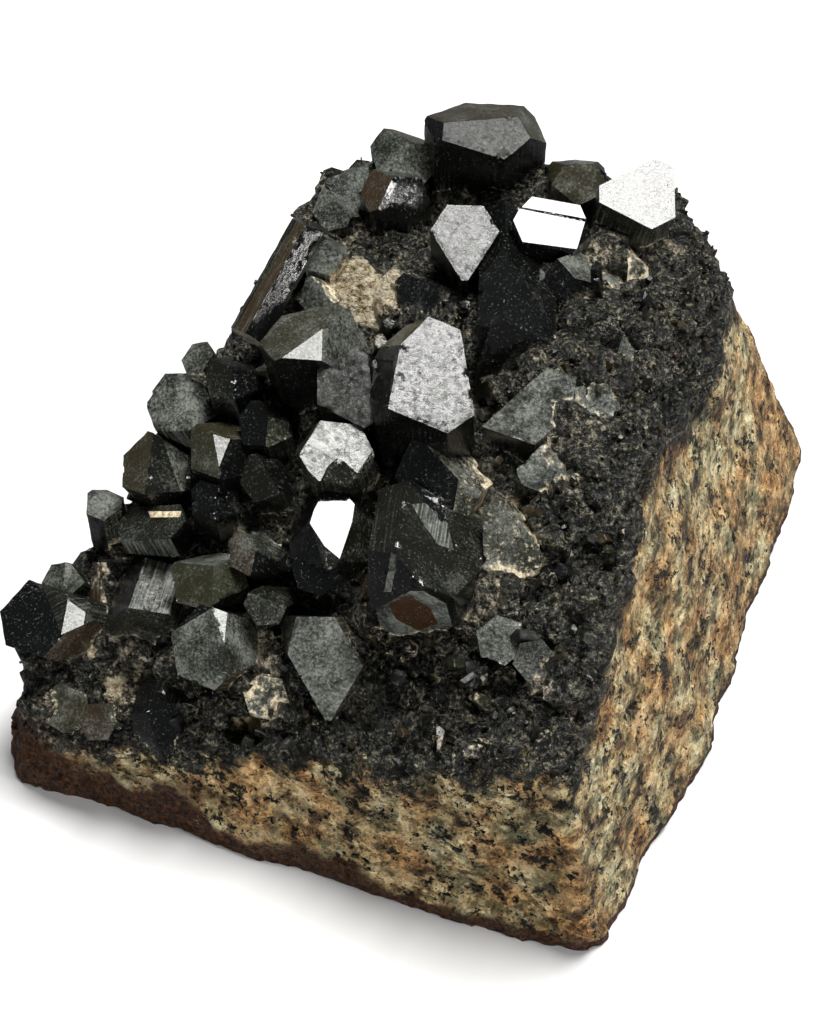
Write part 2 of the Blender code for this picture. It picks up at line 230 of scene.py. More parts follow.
granite = {
    "patch": 270.0,          # broad mottling, per metre
    "speck": 1350.0,         # fine dark grains, per metre
    "facet": 1050.0,         # separate grains, per metre
    "dust": 700.0,           # grain of the dust, per metre
    # brown stains, orange and buff feldspar, cream and white grains
    "minerals": ((0.37, (0.10, 0.065, 0.030)), (0.43, (0.36, 0.22, 0.10)), (0.465, (0.58, 0.45, 0.26)),
                 (0.515, (0.80, 0.68, 0.45)), (0.565, (0.98, 0.92, 0.74))),
    "hues": ((1.06, 1.08, 0.98), (1.02, 0.76, 0.50)),      # greenish and pinkish parts
    "grainShades": ((0.0, (0.68, 0.64, 0.58)), (0.5, (1.0, 0.98, 0.93)), (1.0, (1.40, 1.38, 1.33))),
    "patchShades": ((0.38, (0.30, 0.33, 0.27)), (0.47, (0.80, 0.80, 0.74)), (0.58, (1.08, 1.02, 0.92))),
    "mica": (0.010, 0.012, 0.009),
    "micaEdge": (0.645, 0.70),
    # the crust of broken schorl, from its black gaps to its pale grains
    "crust": ((0.46, (0.006, 0.007, 0.006)), (0.51, (0.020, 0.021, 0.017)), (0.56, (0.085, 0.086, 0.066)),
              (0.605, (0.24, 0.215, 0.15)), (0.66, (0.45, 0.39, 0.28))),
    # dark browns of the band that makes the rock darker towards the bottom edge
    "rust": ((0.018, 0.008, 0.004), (0.17, 0.07, 0.025)),
    "relief": 0.0024,
}


def graniteMaterial():
    material, tree, shader = newMaterial("graniteRock")
    here = put(tree, "TexCoord").outputs["Object"]
    marks = put(tree, "Attribute", {"attribute_name": "masks"}).outputs
    crust, dusty, lowDarkening = put(tree, "SeparateColor", Color=marks["Color"]).outputs
    broad = cloudy(tree, here, granite["patch"], 3.0, 0.65)
    fine = cloudy(tree, here, granite["speck"], 3.0, 0.8)["Fac"]
    other = put(tree, "SeparateColor", Color=broad["Color"]).outputs
    grains = useGroup(tree, brokenGrain, Vector=here, Size=granite["facet"], Seed=17.0)
    # minerals in patches that the fine noise breaks up, shaded grain by grain
    mixed = add(tree, weighted(tree, (broad["Fac"], 0.5), (fine, 0.55)), -0.025)
    colour = ramp(tree, mixed, granite["minerals"])
    for shade in (blend(tree, remap(tree, marks["Alpha"], 0.3, 0.75), *granite["hues"]),
                  ramp(tree, grains["Shade"], granite["grainShades"]),
                  ramp(tree, other[2], granite["patchShades"])):
        colour = blend(tree, 1.0, colour, shade, "MULTIPLY")
    # dark specks, which close up to the crust where its mask is full
    odds = weighted(tree, (other[1], 0.55), (fine, 0.62), (crust, 0.26), (grains["Pick"], 0.08))
    specks = remap(tree, odds, *granite["micaEdge"])
    druse = ramp(tree, weighted(tree, (broad["Fac"], 0.25), (fine, 0.77)), granite["crust"])
    dark = blend(tree, remap(tree, crust, 0.1, 0.5), granite["mica"], druse)
    colour = blend(tree, specks, colour, dark)
    # browner and darker towards the bottom edge, in a narrow line on the right face, and over the foot at the
    # left
    bandShare = remap(tree, weighted(tree, (lowDarkening, 1.0), (other[2], 0.8)), 0.72, 1.2)
    colour = blend(tree, bandShare, colour, blend(tree, remap(tree, fine, 0.38, 0.64), *granite["rust"]))
    powder = useGroup(tree, rockDust, Vector=here, Mask=dusty, Grain=granite["dust"])
    colour = blend(tree, powder["Amount"], colour, powder["Colour"])
    rough = remap(tree, times(tree, specks, grains["Pick"]), 0.1, 0.8, 0.6, 0.16)   # the dark specks glint
    rough = add(tree, rough, times(tree, powder["Amount"], 0.4), clamp=True)
    relief = weighted(tree, (broad["Fac"], 2.2), (fine, 1.0), (grains["Height"], 0.45))
    linkSurface(tree, shader, colour, rough, relief, granite["relief"], 1.0)
    return material


schorl = {
    "tones": ((0.0, (0.0030, 0.0034, 0.0031)), (0.5, (0.020, 0.021, 0.009)), (1.0, (0.042, 0.018, 0.008))),
    "film": ((0.42, (0.013, 0.015, 0.012)), (0.50, (0.078, 0.085, 0.074)), (0.58, (0.20, 0.21, 0.185))),
    "filmEdge": (0.56, 1.12),
    "gloss": 1.5,            # index of refraction
    "smoothest": 0.06,
    "lines": 2.6,            # growth lines along the prism, per mm
    "lineStretch": (1.0, 0.035, 1.0),
    "etch": 1900.0,          # this and the next three per metre
    "cloud": 190.0,
    "grit": 2300.0,
    "dust": 1300.0,
    "relief": 0.00035,
}


def schorlMaterial():
    material, tree, shader = newMaterial("schorlBlack")
    here = put(tree, "TexCoord").outputs["Object"]
    marks = put(tree, "Attribute", {"attribute_name": "finish"}).outputs
    frost, tone, dusty = put(tree, "SeparateColor", Color=marks["Color"]).outputs
    striped = marks["Alpha"]
    coat = put(tree, "Attribute", {"attribute_name": "film"}).outputs["Fac"]
    across = put(tree, "UVMap", {"uv_map": "grain"}).outputs["UV"]
    stretched = put(tree, "Mapping", Vector=across, Scale=schorl["lineStretch"]).outputs[0]
    ridges = cloudy(tree, stretched, schorl["lines"], 4.0, 0.7, noise_dimensions="2D")["Fac"]
    etch = useGroup(tree, brokenGrain, Vector=here, Size=schorl["etch"], Seed=5.0)["Height"]
    cloud = cloudy(tree, here, schorl["cloud"], 3.0, 0.6)["Fac"]
    grit = cloudy(tree, here, schorl["grit"], 3.0, 0.9)["Fac"]
    pits = weighted(tree, (cloud, 0.45), (grit, 0.55))
    # grey film, in clouds on the caps and in lines along the prisms, with bright grit all over
    spread = put(tree, "Mix", in0=times(tree, striped, 0.5), in2=pits, in3=ridges).outputs[0]
    veil = remap(tree, weighted(tree, (spread, 1.0), (coat, 0.62)), *schorl["filmEdge"])
    glints = remap(tree, grit, 0.60, 0.70, 0.0, 0.75)
    veil = put(tree, "Math", {"operation": "MAXIMUM"}, in0=veil, in1=glints).outputs[0]
    colour = blend(tree, veil, ramp(tree, tone, schorl["tones"]), ramp(tree, spread, schorl["film"]))
    powder = useGroup(tree, rockDust, Vector=here, Mask=dusty, Grain=schorl["dust"])
    colour = blend(tree, powder["Amount"], colour, powder["Colour"])
    rough = add(tree, times(tree, frost, 0.36), schorl["smoothest"])
    rough = add(tree, rough, times(tree, remap(tree, pits, 0.5, 0.7), 0.12))
    rough = add(tree, rough, times(tree, powder["Amount"], 0.6), clamp=True)
    relief = times(tree, weighted(tree, (etch, 0.8), (pits, 1.0)), frost)
    relief = add(tree, relief, times(tree, ridges, times(tree, striped, 0.35)))
    linkSurface(tree, shader, colour, rough, relief, schorl["relief"], 0.6)
    shader.inputs["IOR"].default_value = schorl["gloss"]
    return material


graniteLook = graniteMaterial()
schorlLook = schorlMaterial()
print("materials made")


# mesh helpers

def onlySelect(piece):
    bpy.ops.object.select_all(action="DESELECT")
    piece.select_set(True)
    bpy.context.view_layer.objects.active = piece


def startEdit():
    bpy.ops.object.mode_set(mode="EDIT")
    bpy.ops.mesh.select_all(action="SELECT")


def endEdit():
    bpy.ops.object.mode_set(mode="OBJECT")


def copyOfNode(nodeName, pieceName):
    piece = bpy.data.objects.new(pieceName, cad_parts[nodeName].data.copy())
    bpy.context.scene.collection.objects.link(piece)
    piece.data.materials.clear()
    onlySelect(piece)
    startEdit()
    bpy.ops.mesh.remove_doubles(threshold=0.002 * mm)
    endEdit()
    return piece


def perVertex(piece, what):
    # "co" or "normal" of every vertex, as rows
    flat = np.zeros(len(piece.data.vertices) * 3)
    piece.data.vertices.foreach_get(what, flat)
    return flat.reshape(-1, 3)


def moveTo(piece, points):
    piece.data.vertices.foreach_set("co", points.reshape(-1))
    piece.data.update()


def writeLayer(mesh, name, kind, domain, values):
    layer = mesh.attributes.new(name, kind, domain)
    layer.data.foreach_set("color" if kind == "FLOAT_COLOR" else "value", values)


def treeOf(piece):
    # answers which face of the piece a ray meets, or which one is nearest
    return BVHTree.FromObject(piece, bpy.context.evaluated_depsgraph_get())


def tiltedCells(point, size):
    # height of a broken surface whose cells of this size each lie at their own tilt
    scaled = point / size
    spot = noise.voronoi(scaled, distance_metric="DISTANCE")[1][0]
    return noise.cell_vector(spot * 7.31).dot(scaled - spot)


def pictureRays(pixels):
    # the directions in which the eye sees these pixels of the picture
    width, height = studio["picture"]
    perPixel = studio["sensor"] / studio["lens"] / height
    rays = []
    for px, py in pixels:
        aside = Vector((1, 0, 0)) * (px - width / 2) + cameraUp * (height / 2 - py)
        rays.append((aside * perPixel - cameraBack).normalized())
    return rays


def pixelOf(point):
    # where the picture shows this point
    width, height = studio["picture"]
    seen = point - eye
    scale = studio["lens"] / studio["sensor"] * height / -seen.dot(cameraBack)
    return width / 2 + seen.x * scale, height / 2 - seen.dot(cameraUp) * scale


nodeTrees = {name: treeOf(node) for name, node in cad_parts.items()}
crystalTrees = [tree for name, tree in nodeTrees.items() if name != "granite_matrix"]

# the rock, with its lengths in mm
rock = {
    "voxel": 0.72,
    "swell": 0.22,           # closes the thin gaps round the crystals
    "slope": ((-8, -6, 42), 226, 33),   # plane of the druse: point, compass, slope
    "top": ((14, 10, 55.5), 222, 6),
    "crustDepth": 2.0,
    "cornerDepth": 12.0,     # the crust is thicker at the upper right
    "cornerX": (16, 36),     # where that corner begins and is full
    "cornerY": (-12, 14),
    "uneven": 3.0,           # thickness that the crust gains or loses from place to place
    "unevenSize": 9,
    "frontLoss": 5.0,        # thickness that it loses on the front face
    "fade": 8.0,             # over which it breaks up into specks
    # a dark brown band towards the bottom edge: its height in mm, how much that varies, its share on the
    # right face, its least height
    "bottomBandHeight": 6.0,
    "bandUneven": 5.0,
    "rightRust": 0.35,       # share of its height on the right face
    "leastBandHeight": 2.0,
    "leftFootX": (-12, -48),   # where the dark brown foot at the left begins and is full
    "leftFootZ": (8, 22),
    "dustSize": 4.5,
    "tintSize": 7,
    "footReach": (0.8, 4.5),   # gap to a crystal, from its foot to clear of it
    "climb": 2.3,            # that the matrix climbs round the foot of the crystals
    "freeFront": (24, 31),   # -y from which the front crystals stand free
    "pinkEnd": (46, 60),     # x towards which the granite turns pinkish
    # relief, each as size and height
    "grains": ((2.3, 0.14), (6, 0.45)),       # tilted grains of the clean granite
    "waves": (12, 0.6),
    "fragments": ((1.5, 0.50), (4.6, 1.4)),   # tilted fragments of the crust
    "footFragments": (2.6, 1.2),
    "ledges": (6.5, 1.2),
    "fibres": (1.1, 7, 0.8),                  # across, along z, height
}

# pale matrix that shows between the crystals, in the picture's own pixels, with its radius in mm
palePatches = [(368, 292, 6.5), (345, 330, 4.0), (376, 475, 3.4), (245, 535, 2.6), (520, 338, 2.6),
               (562, 426, 2.6), (505, 520, 3.0), (120, 690, 1.8), (66, 712, 3.0), (232, 722, 2.0)]


def druseHeight(points):
    # mm above the two planes that the crystals grow from
    heights = []
    for point, compass, slope in (rock["slope"], rock["top"]):
        heights.append((points - np.array(place(point))) @ np.array(direction(compass, slope)) / mm)
    return np.maximum(*heights)


def crystalsNear(p, depth):
    # 1 at the foot of a crystal, 0 where the rock is clear of them all
    if depth >= 4:
        return 0
    search = 5 * mm
    gaps = [tree.find_nearest(p, search)[3] for tree in crystalTrees]
    gap = min((gap for gap in gaps if gap is not None), default=search) / mm
    return 1 - smooth(*rock["footReach"], gap)


def darkBandAt(p, x, z, rough):
    # a dark brown band, darker towards the bottom: along the bottom edge, a narrow line on the right face,
    # and over the foot at the left
    side = nodeTrees["granite_matrix"].find_nearest(p)[1]
    band = (rock["bottomBandHeight"] + rock["bandUneven"] * rough) * (rock["rightRust"] if side.x > 0.4 else 1)
    band *= 1.5 - 0.8 * smooth(-30, 25, x)   # higher towards the left
    low = 1 - smooth(1.0, max(rock["leastBandHeight"], band), z)
    leftFoot = smooth(*rock["leftFootX"], x) * (1 - smooth(*rock["leftFootZ"], z))
    return min(1, 0.85 * low + 0.5 * leftFoot)


def rockPoint(p, outward, depth, spots):
    # the four masks of this point (crust, dust, dark brown band towards the bottom, pinkish tint), and how
    # far it is pushed out
    x, y, z = (value / mm for value in p)
    corner = smooth(*rock["cornerX"], x) * smooth(*rock["cornerY"], y)
    rough = noise.noise(p / (rock["unevenSize"] * mm)) + 0.6 * noise.noise(p / (3.2 * mm))
    deeper = (rock["cornerDepth"] - rock["crustDepth"]) * corner
    thickness = rock["crustDepth"] + deeper + rock["uneven"] * rough
    thickness -= rock["frontLoss"] * smooth(0.4, 0.8, -outward[1])
    crust = 1 - smooth(thickness - 1.0, thickness + rock["fade"], depth)
    near = crystalsNear(p, depth)
    pale = 0
    for spot, radius in spots:
        pale = max(pale, 1 - smooth(0.5, 1.15, (p - spot).length / radius + 0.35 * rough))
    spread = noise.noise(p / (rock["dustSize"] * mm) + Vector((1, 5, 2)))
    dusty = crust * (0.05 + 0.36 * max(0, spread) + near * smooth(-0.3, 0.4, spread) * 0.34)
    tint = 0.5 + 0.5 * noise.noise(p / (rock["tintSize"] * mm) + Vector((3, 9, 4)))
    tint += 0.4 * smooth(*rock["pinkEnd"], x)
    (fine, low), (coarse, high) = rock["grains"]
    grain = tiltedCells(p, fine * mm) * low + tiltedCells(p, coarse * mm) * high
    size, height = rock["waves"]
    grain += height * noise.noise(p / (size * mm))
    (fine, low), (coarse, high) = rock["fragments"]
    broken = tiltedCells(p, fine * mm) * low + tiltedCells(p, coarse * mm) * high
    size, height = rock["ledges"]
    broken += height * (0.55 - 2 * abs(noise.noise(p / (size * mm))))
    width, length, height = rock["fibres"]
    fibre = Vector((p.x / (width * mm), p.y / (width * mm), p.z / (length * mm)))
    broken += height * corner * noise.noise(fibre)
    size, height = rock["footFragments"]
    broken += near * height * tiltedCells(p + Vector((0, 0, 3 * mm)), size * mm)
    climb = rock["climb"] * (1 - 0.85 * smooth(*rock["freeFront"], -y))
    push = rock["swell"] + (1 - crust) * grain + crust * broken + near * climb * (1 + 0.8 * rough)
    return (crust, max(pale, dusty), darkBandAt(p, x, z, rough), tint), push * mm


def makeRock():
    piece = copyOfNode("granite_matrix", "graniteRock")
    remesh = piece.modifiers.new("remesh", "REMESH")
    remesh.mode = "VOXEL"
    remesh.voxel_size = rock["voxel"] * mm
    bpy.ops.object.modifier_apply(modifier="remesh")
    settle = piece.modifiers.new("settle", "SMOOTH")
    settle.factor = 0.5
    settle.iterations = 3
    bpy.ops.object.modifier_apply(modifier="settle")
    points, outwards = perVertex(piece, "co"), perVertex(piece, "normal")
    noise.seed_set(4)
    tree = treeOf(piece)
    hits = [tree.ray_cast(eye, ray)[0] for ray in pictureRays([patch[:2] for patch in palePatches])]
    spots = [(hit, patch[2] * mm) for hit, patch in zip(hits, palePatches) if hit is not None]
    depths = -druseHeight(points)
    masks = np.zeros((len(points), 4))
    moved = points.copy()
    for i in range(len(points)):
        masks[i], push = rockPoint(Vector(points[i]), outwards[i], depths[i], spots)
        moved[i] = points[i] + outwards[i] * push
    flat, lift = 0.45 * mm, 0.02 * mm   # the underside stays flat, and nothing sinks below it
    moved[:, 2] = np.where(points[:, 2] < flat, 0.0, np.maximum(moved[:, 2], lift))
    moveTo(piece, moved)
    writeLayer(piece.data, "masks", "FLOAT_COLOR", "POINT", masks.reshape(-1))
    bpy.ops.object.shade_smooth_by_angle(angle=math.radians(50))
    piece.data.materials.append(graniteLook)
    print("rock:", len(piece.data.polygons), "faces")
    return piece


rockPiece = makeRock()
rockTree = treeOf(rockPiece)

# the crystals: crown in mm, lean of the long axis (compass, degrees from upright), radius in mm
crystals = {
    "crown_crystals": {
        "greatCrown": ((10.5, 36, 69.5), (270, 8), 7.2),
        "leftShoulder": ((-3.2, 32, 64.5), (250, 12), 4.6),
        "backLeftHigh": ((-2, 41, 64), (120, 15), 4.4),
        "bundleTop": ((-11.6, 31.5, 59.5), (230, 15), 3),
        "backLeftLow": ((-8.5, 38.5, 60), (160, 25), 4.2),
    },
    "upper_right_crystals": {
        "lyingBlack": ((12.2, 1.4, 57), (268, 85), 6.2),
        "rightKnob": ((29.6, 5.3, 58.3), (300, 20), 4),
        "greyKite": ((7.2, 20.5, 64), (265, 15), 4.8),
        "underKite": ((2.3, 15.5, 58.5), (250, 20), 4.8),
        "mirrorTable": ((19.5, 22.5, 64.5), (275, 12), 4.6),
        "smallBackPeak": ((23.5, 32, 66.6), (275, 8), 4.2),
        "whiteShield": ((32.5, 26, 67), (320, 12), 5.1),
        "roughRound": ((20, 17.5, 61), (270, 20), 5.2),
        "blueGreyPatch": ((24.5, 13.5, 61.5), (280, 15), 5.6),
        "darkKnobHigh": ((25.4, 11.6, 57.6), (285, 15), 4.6),
        "darkKnobLow": ((23.2, 4.6, 56.8), (270, 25), 4),
        "fibreKnot": ((31.5, 19, 60), (300, 20), 4.4),
    },
    "long_side_crystals": {
        "sidePrism": ((-14.8, 25.4, 62), (58, 63), 2.5),
        "bundleHigh": ((-13, 23, 60), (240, 10), 3.2),
        "bundleLow": ((-13.5, 17, 56.5), (250, 15), 2.8),
    },
    "centre_crystals": {
        "tallWhiteFace": ((2.6, -3.5, 62.5), (262, 12), 7.8),
        "threeFacePeak": ((-12.7, 5.7, 61), (240, 12), 6.2),
        "greySlope": ((-8.6, -2.1, 56.5), (255, 20), 4.9),
        "whiteHexagon": ((-10.8, -9.3, 53), (250, 18), 4.6),
        "whiteRhomb": ((-11.3, -17.8, 47.5), (262, 15), 6),
        "blackSaddle": ((3.8, -13.5, 53), (255, 20), 5.8),
        "tanSlab": ((13, -23, 50), (255, 14), 4.6),
        "bigRounded": ((1, -31.5, 44.5), (263, 86), 8.6),
        "chippedWhite": ((2, -19.5, 51.5), (270, 20), 2.2),
        "lyingStrip": ((-13.5, -22.5, 42.5), (240, 60), 3.2),
    },
    "left_ridge_crystals": {
        "darkPairLeft": ((-21.2, -1.2, 49.8), (235, 12), 3.5),
        "darkPairLow": ((-21, -8, 45.6), (235, 20), 3.3),
        "tallRounded": ((-26.2, 5.8, 52.2), (200, 10), 3.5),
        "greenChip": ((-31, 10.5, 50), (190, 20), 2.4),
        "ridgeGrey": ((-34, 5.5, 46), (215, 22), 4.4),
        "ridgeLow": ((-38, -2.5, 42), (210, 25), 4.4),
        "darkHexagon": ((-27, -3.5, 47.5), (240, 18), 4.8),
        "flatBlack": ((-37.3, -9.5, 37), (230, 15), 4.3),
        "ledgeBlack": ((-28.2, -8.4, 42.4), (235, 8), 3.4),
    },
    "left_point_crystals": {
        "leftPoint": ((-54, -18.5, 26.5), (215, 40), 5.5),
        "flatBehind": ((-51.2, -12.3, 27.6), (220, 30), 2.6),
        "toeHigh": ((-49.8, -20.6, 18.2), (215, 45), 2.2),
        "thinPost": ((-45.6, -22.9, 17.6), (268, 122), 1.6),
    },
    "lower_slope_crystals": {
        "oliveRound": ((-29.5, -19.4, 37.8), (230, 35), 4.7),
        "greyPyramid": ((-28.6, -28.6, 33.2), (245, 38), 5.5),
        "greenSlab": ((-13.2, -31.4, 35.2), (250, 42), 5.9),
        "darkFill": ((-22.8, -17.4, 40.8), (230, 30), 3.3),
        "darkFillLow": ((-20.4, -24.4, 37.6), (240, 35), 2.9),
    },
    "wedge_crystals": {
        "greyWedge": ((17.3, -6.8, 58.2), (255, 6), 5.2),
        "wedgeNeighbour": ((25.3, -5.3, 58), (300, 15), 2.8),
    },
    "step_crystal": {"stripedStep": ((18.6, -14, 53.8), (270, 4), 3.6)},
    "left_post_crystal": {"leftPost": ((-44.3, -5, 36.6), (270, 5), 2.6)},
    "front_left_prisms": {
        "blockPrism": ((-38.3, -21, 27.1), (260, 88), 5.1),
        "standingBlack": ((-36, -33.8, 19.8), (265, 82), 3.9),
    },
    "broken_crystal": {"brokenGrey": ((-20.5, -33, 27.4), (240, 50), 3)},
    "front_stumps": {
        "stumpLeft": ((11.6, -34.4, 42.5), (260, 40), 3),
        "stumpRight": ((16, -37.4, 42), (270, 40), 2.6),
    },
    "toe_crystals": {
        "toeLeft": ((-50.5, -27, 16.5), (220, 40), 3.2),
        "toeRight": ((-45, -30.5, 18), (240, 35), 2.6),
    },
}

# frost, tone (0 black, 0.5 olive, 1 red-brown), tan dust, grey film, turned towards the lamp
finishes = {
    "black": (0.08, 0.0, 0.0, 0.06, False),
    "soft": (0.24, 0.10, 0.03, 0.20, False),
    "olive": (0.40, 0.60, 0.06, 0.34, False),
    "brown": (0.35, 0.90, 0.12, 0.30, False),
    "grey": (0.50, 0.20, 0.08, 0.58, False),
    "pale": (0.60, 0.10, 0.14, 1.00, False),
    "tan": (0.50, 0.40, 0.40, 0.50, False),
    "frosted": (1.00, 0.1, 0.0, 0.30, False),
    # painted highlight: pale dust and grey film standing in for the bright edge of a flat black crystal
    "gold": (0.20, 0.5, 1.0, 0.60, False),
    "satin": (0.42, 0.0, 0.0, 0.20, False),
    "red": (0.50, 1.0, 0.0, 0.05, False),
    "mirror": (0.02, 0.0, 0.0, 0.0, True),
    "shield": (0.30, 0.0, 0.02, 0.40, True),
    "dullMirror": (0.42, 0.0, 0.05, 0.80, True),
}

# where these finishes are, as pixels of the picture
finishPlaces = {
    "shield": [(642, 193)],
    "mirror": [(436, 506)],
    "dullMirror": [(309, 349), (221, 447), (221, 621)],
    "satin": [(433, 374), (463, 238)],
    "frosted": [(488, 134), (353, 386)],
    "black": [(434, 130), (427, 150), (463, 162), (431, 190), (522, 170), (403, 198), (367, 218),
              (431, 278), (471, 278), (502, 234), (527, 250), (587, 298), (298, 394), (389, 378),
              (403, 438), (479, 338), (511, 358), (571, 350), (587, 342), (231, 362), (243, 382),
              (247, 398), (223, 410), (203, 478), (231, 462), (223, 502), (243, 506), (99, 538),
              (151, 522), (203, 526), (535, 498), (571, 490), (427, 470), (427, 494), (440, 546),
              (119, 588), (388, 578), (472, 602), (147, 678), (166, 686), (139, 730), (162, 722),
              (311, 578), (504, 438), (491, 274), (527, 290), (505, 350), (267, 274), (283, 282),
              (300, 380), (250, 420), (180, 470), (340, 590)],
    "olive": [(476, 106), (532, 126), (408, 138), (551, 170), (555, 190), (579, 182), (302, 330),
              (223, 430), (203, 450), (135, 466), (185, 580), (220, 580), (239, 554), (351, 638),
              (351, 694), (563, 426), (55, 702), (77, 702), (92, 718), (116, 710), (276, 674)],
    "brown": [(375, 190), (92, 580), (105, 580), (97, 606), (73, 644), (235, 678), (291, 690),
              (66, 666), (92, 676), (416, 618)],
    "grey": [(388, 150), (394, 174), (415, 162), (343, 202), (575, 162), (619, 254), (346, 334),
             (535, 406), (633, 330), (631, 354), (195, 358), (179, 442), (207, 558), (267, 546),
             (55, 572), (70, 576), (150, 584), (30, 620), (189, 612), (193, 646), (234, 640),
             (320, 566), (536, 662), (409, 334), (262, 610), (500, 638)],
    "pale": [(347, 182), (327, 214), (339, 234), (335, 246), (323, 258), (299, 278), (319, 274),
             (311, 294), (592, 270), (583, 246), (579, 398), (599, 402), (611, 398), (547, 470),
             (167, 402), (199, 406), (99, 505), (107, 494), (152, 550), (323, 662)],
    "tan": [(339, 274), (327, 290), (635, 274), (643, 262), (243, 338), (199, 378), (115, 538),
            (275, 430), (367, 482), (467, 498), (483, 502), (523, 522), (508, 546), (500, 582),
            (528, 582), (263, 698), (88, 652), (467, 470)],
}

# bright parts with an outline of their own, cut into the face that they lie on; some of them, marked below,
# are painted highlights and a painted reflection
outlines = [
    ("mirror", [(527, 195), (591, 205), (586, 219), (521, 206)]),
    ("mirror", [(520, 209), (585, 222), (577, 249), (504, 239)]),
    ("pale", [(374, 602), (394, 590), (424, 592), (446, 604), (452, 626), (438, 640), (402, 640),
              (380, 628)]),
    ("red", [(388, 604), (410, 597), (430, 608), (438, 624), (418, 631), (396, 620)]),
    ("dullMirror", [(299, 455), (322, 418), (350, 416), (367, 425), (373, 450), (357, 473), (345, 462),
                    (337, 458), (328, 466), (320, 482), (308, 470)]),
    ("mirror", [(341, 480), (357, 506), (340, 561), (325, 548), (310, 524), (320, 488)]),
    ("dullMirror", [(66, 600), (84, 612), (83, 652), (64, 640)]),
    # painted highlight along the top edge of a flat black crystal
    ("gold", [(148, 511), (181, 511), (180, 517), (150, 517)]),
    ("brown", [(300, 215), (317, 222), (253, 336), (230, 336)]),
    ("pale", [(575, 388), (588, 384), (588, 414), (577, 416)]),
    # painted reflection: a narrow bluish-grey reflection on a black face, given as grey film
    ("grey", [(163, 440), (190, 440), (184, 500)]),
    # painted highlight: a bright rim along a crystal edge, given as pale film
    ("pale", [(395, 528), (401, 528), (391, 592), (384, 592)]),
    ("pale", [(412, 504), (432, 502), (448, 524), (454, 550), (438, 544), (424, 524)]),
]

wear = {
    "longest": 0.6 * mm,     # longest mesh edge on a crystal
    "coarse": 5,             # times as long where it can't be seen
    "sink": 2.5,             # mm below the druse where that begins
    "edge": 0.09 * mm,       # how far the edges are rubbed down
    "edgeReach": 0.45 * mm,
    "edgeWave": 1.4 * mm,
    "chip": 0.32 * mm,
    "chipReach": 0.8 * mm,
    "chipSize": 2.3 * mm,
    "fewChips": 0.45,        # the higher, the fewer
    "etch": 0.06 * mm,       # relief of a frosted cap
    "etchSizes": (1.6 * mm, 5.5 * mm),
    "lines": 0.07 * mm,      # height of the growth lines
    "fallAway": 0.6,         # slope of what is left round a bright part
    "dustReach": 0.7 * mm,   # how far dust lies up the foot
}


def refine(piece):
    # split long edges until the mesh is fine enough for the relief, only where it can be seen
    bpy.ops.object.mode_set(mode="EDIT")
    bpy.ops.mesh.select_mode(type="EDGE")
    for step in range(9):
        piece.update_from_editmode()
        points = perVertex(piece, "co")
        ends = np.zeros(len(piece.data.edges) * 2, int)
        piece.data.edges.foreach_get("vertices", ends)
        start, stop = points[ends[0::2]], points[ends[1::2]]
        hidden = druseHeight((start + stop) / 2) < -wear["sink"]
        allowed = np.where(hidden, wear["longest"] * wear["coarse"], wear["longest"])
        chosen = np.linalg.norm(start - stop, axis=1) > allowed
        if not chosen.any():
            break
        mesh = bmesh.from_edit_mesh(piece.data)
        for edge, pick in zip(mesh.edges, chosen.tolist()):
            edge.select = pick
        bmesh.update_edit_mesh(piece.data)
        bpy.ops.mesh.subdivide(number_cuts=1)
        bpy.ops.mesh.select_all(action="SELECT")
        bpy.ops.mesh.quads_convert_to_tris(quad_method="BEAUTY", ngon_method="BEAUTY")
    bpy.ops.mesh.select_all(action="SELECT")
    bpy.ops.mesh.remove_doubles(threshold=0.03 * mm)
    bpy.ops.mesh.dissolve_degenerate(threshold=0.01 * mm)
    endEdit()


def ownerOf(point, members):
    # the crystal whose long axis passes nearest, counted in its own radii
    best, found = math.inf, None
    for name, (crown, lean, radius) in members.items():
        axis = direction(*lean)
        down = min(0, (point - place(crown)).dot(axis))
        gap = (point - place(crown) - axis * down).length / (radius * mm)
        if gap < best:
            best, found = gap, name
    return found


def insideOutline(x, y, corners):
    inside = False
    for (x0, y0), (x1, y1) in zip(corners, corners[1:] + corners[:1]):
        if (y0 > y) != (y1 > y) and x < x0 + (y - y0) * (x1 - x0) / (y1 - y0):
            inside = not inside
    return inside


def insidePolygon(point, corners, facing):
    u = facing.orthogonal().normalized()
    v = facing.cross(u)
    return insideOutline(point.dot(u), point.dot(v), [(corner.dot(u), corner.dot(v)) for corner in corners])


def findSpots():
    # where the places given in the picture lie on the crystals
    spots = []
    for kind, pixels in finishPlaces.items():
        for ray in pictureRays(pixels):
            hits = [tree.ray_cast(eye, ray) for tree in nodeTrees.values()]
            hits = [hit for hit in hits if hit[0] is not None]
            if hits:
                spot, looks = min(hits, key=lambda hit: hit[3])[:2]
                spots.append((kind, spot, looks))
    return spots


def outlinedFace(piece, nodeName, corners):
    # facet number and normal of the face that this outline lies on, if it is the first thing seen there
    middle = [sum(axis) / len(corners) for axis in zip(*corners)]
    ray = pictureRays([middle])[0]
    spot, looks, _, reach = nodeTrees[nodeName].ray_cast(eye, ray)
    others = [tree.ray_cast(eye, ray)[3] or math.inf for name, tree in nodeTrees.items() if name != nodeName]
    if spot is None or min(others) < reach:
        return None
    mesh = piece.data
    for face in mesh.polygons:
        if face.normal.dot(looks) > 0.99 and abs((spot - face.center).dot(face.normal)) < 0.2 * mm:
            if insidePolygon(spot, [mesh.vertices[i].co for i in face.vertices], face.normal):
                return mesh.attributes["facet"].data[face.index].value, face.normal.copy()
    return None


